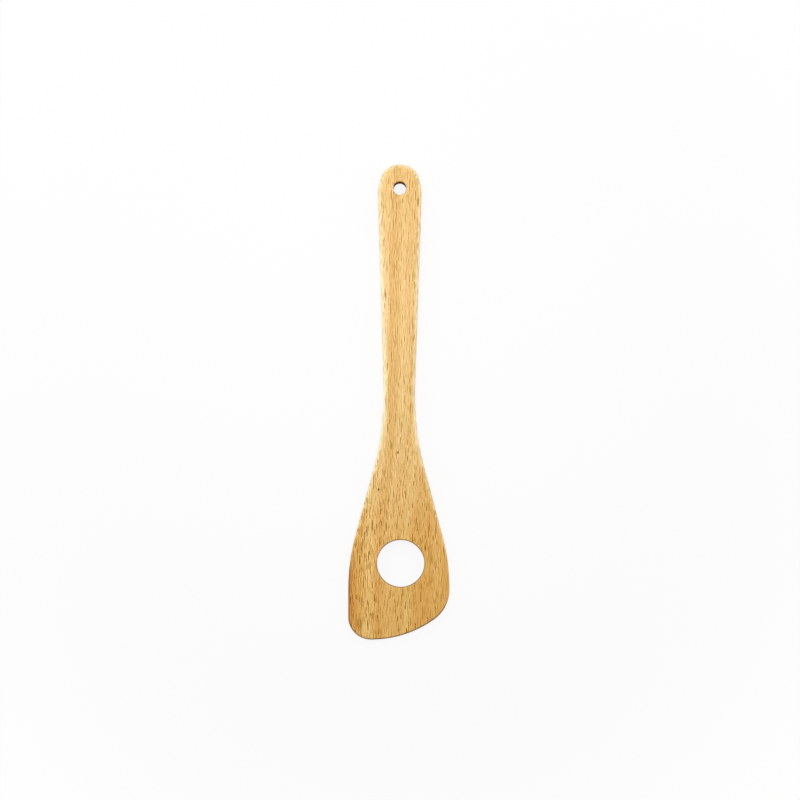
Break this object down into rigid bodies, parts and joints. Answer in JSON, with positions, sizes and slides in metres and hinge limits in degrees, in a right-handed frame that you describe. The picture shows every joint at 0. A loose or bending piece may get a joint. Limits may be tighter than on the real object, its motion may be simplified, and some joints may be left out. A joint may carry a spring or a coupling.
{
  "type": "wooden spatula",
  "caption": "Flat solid-wood cooking spatula: tapered handle with a hang hole, narrow neck, and a flared blade with a round drain hole and a slanted working edge.",
  "frame": {"origin": "on the flat back, under the middle of the overall length and width", "axes": "+X across the blade towards the heel of the working edge, +Y along the handle towards its hanging end, +Z out of the working face"},
  "size_m": [0.064, 0.3, 0.009],
  "materials": {
    "wood": "sanded pale hardwood with fine dark pore marks, satin"
  },
  "bodies": {
    "root": {"spatula_body": "wood"}
  },
  "joints": []
}
